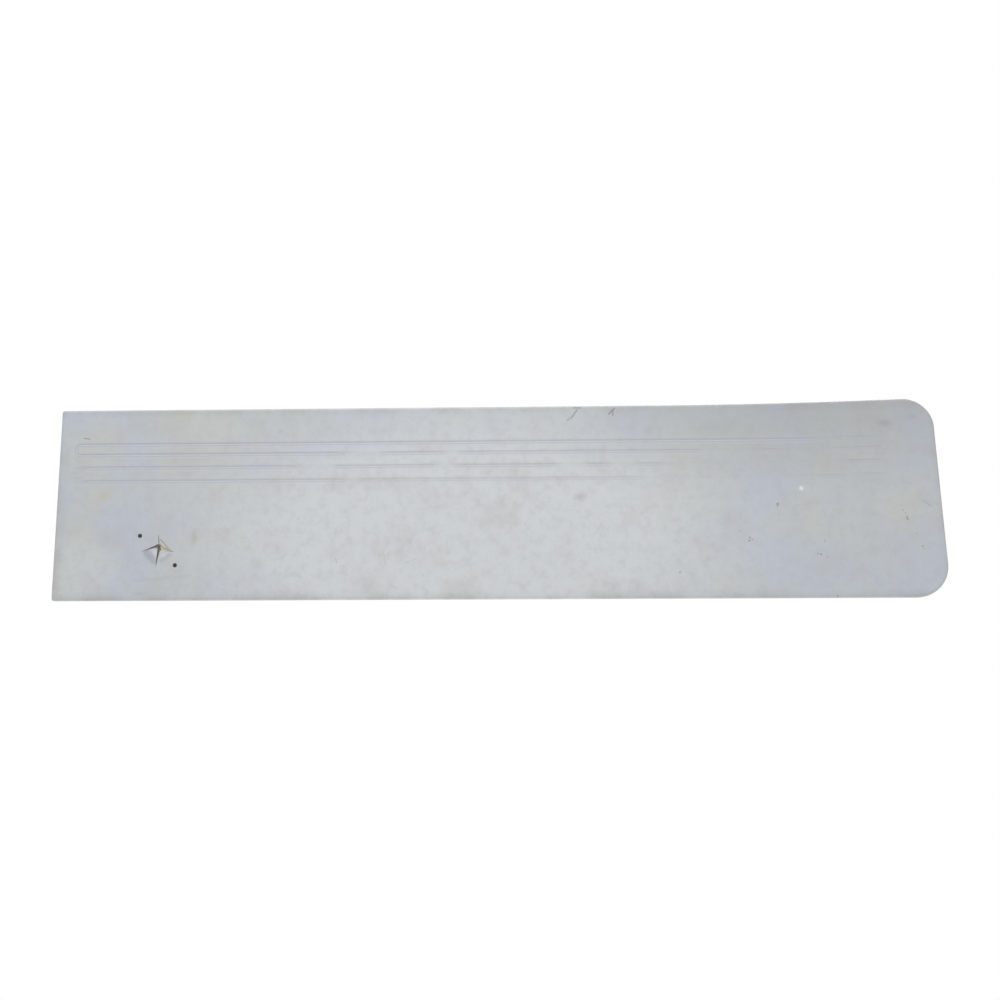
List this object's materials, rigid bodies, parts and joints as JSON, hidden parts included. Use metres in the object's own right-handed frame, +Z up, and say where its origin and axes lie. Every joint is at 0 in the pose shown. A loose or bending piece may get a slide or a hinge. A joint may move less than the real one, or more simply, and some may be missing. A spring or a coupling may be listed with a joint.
{
  "type": "door kick panel",
  "caption": "Long flat vinyl-covered trim panel with embossed lines, a crank opening with a cross slit, and hidden push clips behind.",
  "frame": {"origin": "mid-length and mid-height of the panel's square-ended outline, on the plane of the door's sheet, where the clips' seals meet it", "axes": "+X along the panel towards its rounded end, +Z up, +Y into the door; the vinyl show face looks towards -Y"},
  "size_m": [0.8886, 0.0218, 0.1991],
  "materials": {
    "vinyl": "satin",
    "pad_foam": "matte",
    "hardboard": "matte",
    "clip_nylon": "satin",
    "seal_rubber": "matte",
    "staple_wire": "satin"
  },
  "bodies": {
    "panel": {"backing_board": "hardboard", "foam_pad": "pad_foam", "vinyl_cover": "vinyl", "staple_01": "staple_wire", "staple_02": "staple_wire", "staple_03": "staple_wire", "staple_04": "staple_wire", "staple_05": "staple_wire", "staple_06": "staple_wire", "staple_07": "staple_wire", "staple_08": "staple_wire", "staple_09": "staple_wire", "staple_10": "staple_wire", "staple_11": "staple_wire", "staple_12": "staple_wire", "staple_13": "staple_wire", "staple_14": "staple_wire", "staple_15": "staple_wire", "staple_16": "staple_wire", "staple_17": "staple_wire", "staple_18": "staple_wire", "staple_19": "staple_wire", "staple_20": "staple_wire", "staple_21": "staple_wire", "staple_22": "staple_wire", "staple_23": "staple_wire", "staple_24": "staple_wire", "staple_25": "staple_wire", "staple_26": "staple_wire"},
    "flap_upper_left": {"slit_flap_upper_left": "vinyl"},
    "flap_lower_left": {"slit_flap_lower_left": "vinyl"},
    "flap_lower_right": {"slit_flap_lower_right": "vinyl"},
    "flap_upper_right": {"slit_flap_upper_right": "vinyl"},
    "clip_01": {"panel_clip_01": "clip_nylon", "clip_seal_01": "seal_rubber"},
    "clip_02": {"panel_clip_02": "clip_nylon", "clip_seal_02": "seal_rubber"},
    "clip_03": {"panel_clip_03": "clip_nylon", "clip_seal_03": "seal_rubber"},
    "clip_04": {"panel_clip_04": "clip_nylon", "clip_seal_04": "seal_rubber"},
    "clip_05": {"panel_clip_05": "clip_nylon", "clip_seal_05": "seal_rubber"},
    "clip_06": {"panel_clip_06": "clip_nylon", "clip_seal_06": "seal_rubber"},
    "clip_07": {"panel_clip_07": "clip_nylon", "clip_seal_07": "seal_rubber"},
    "clip_08": {"panel_clip_08": "clip_nylon", "clip_seal_08": "seal_rubber"},
    "clip_09": {"panel_clip_09": "clip_nylon", "clip_seal_09": "seal_rubber"},
    "clip_10": {"panel_clip_10": "clip_nylon", "clip_seal_10": "seal_rubber"},
    "clip_11": {"panel_clip_11": "clip_nylon", "clip_seal_11": "seal_rubber"},
    "clip_12": {"panel_clip_12": "clip_nylon", "clip_seal_12": "seal_rubber"}
  },
  "joints": [
    {"name": "flap_upper_left_bend", "type": "hinge", "parent": "panel", "child": "flap_upper_left", "pos_m": [-0.33855, -0.0106, -0.03505], "axis": [0.73, 0, 0.6834], "range_deg": [-40, 70], "stiffness_Nm_per_rad": 0.000025},
    {"name": "flap_lower_left_bend", "type": "hinge", "parent": "panel", "child": "flap_lower_left", "pos_m": [-0.3522, -0.0106, -0.04782], "axis": [-0.7163, 0, 0.6978], "range_deg": [-48, 62], "stiffness_Nm_per_rad": 0.0003},
    {"name": "flap_lower_right_bend", "type": "hinge", "parent": "panel", "child": "flap_lower_right", "pos_m": [-0.3397, -0.0106, -0.06], "axis": [-0.6933, 0, -0.7206], "range_deg": [-46, 64], "stiffness_Nm_per_rad": 0.00016},
    {"name": "flap_upper_right_bend", "type": "hinge", "parent": "panel", "child": "flap_upper_right", "pos_m": [-0.32721, -0.0106, -0.04702], "axis": [0.688, 0, -0.7257], "range_deg": [-64, 46], "stiffness_Nm_per_rad": 0.00001},
    {"name": "clip_01_float", "type": "slide", "parent": "panel", "child": "clip_01", "axis": [1, 0, 0], "range_m": [-0.003, 0.003]},
    {"name": "clip_02_float", "type": "slide", "parent": "panel", "child": "clip_02", "axis": [1, 0, 0], "range_m": [-0.003, 0.003]},
    {"name": "clip_03_float", "type": "slide", "parent": "panel", "child": "clip_03", "axis": [1, 0, 0], "range_m": [-0.003, 0.003]},
    {"name": "clip_04_float", "type": "slide", "parent": "panel", "child": "clip_04", "axis": [1, 0, 0], "range_m": [-0.003, 0.003]},
    {"name": "clip_05_float", "type": "slide", "parent": "panel", "child": "clip_05", "axis": [1, 0, 0], "range_m": [-0.003, 0.003]},
    {"name": "clip_06_float", "type": "slide", "parent": "panel", "child": "clip_06", "axis": [1, 0, 0], "range_m": [-0.003, 0.003]},
    {"name": "clip_07_float", "type": "slide", "parent": "panel", "child": "clip_07", "axis": [1, 0, 0], "range_m": [-0.003, 0.003]},
    {"name": "clip_08_float", "type": "slide", "parent": "panel", "child": "clip_08", "axis": [1, 0, 0], "range_m": [-0.003, 0.003]},
    {"name": "clip_09_float", "type": "slide", "parent": "panel", "child": "clip_09", "axis": [1, 0, 0], "range_m": [-0.003, 0.003]},
    {"name": "clip_10_float", "type": "slide", "parent": "panel", "child": "clip_10", "axis": [1, 0, 0], "range_m": [-0.003, 0.003]},
    {"name": "clip_11_float", "type": "slide", "parent": "panel", "child": "clip_11", "axis": [0, 0, 1], "range_m": [-0.003, 0.003]},
    {"name": "clip_12_float", "type": "slide", "parent": "panel", "child": "clip_12", "axis": [0, 0, 1], "range_m": [-0.003, 0.003]}
  ]
}
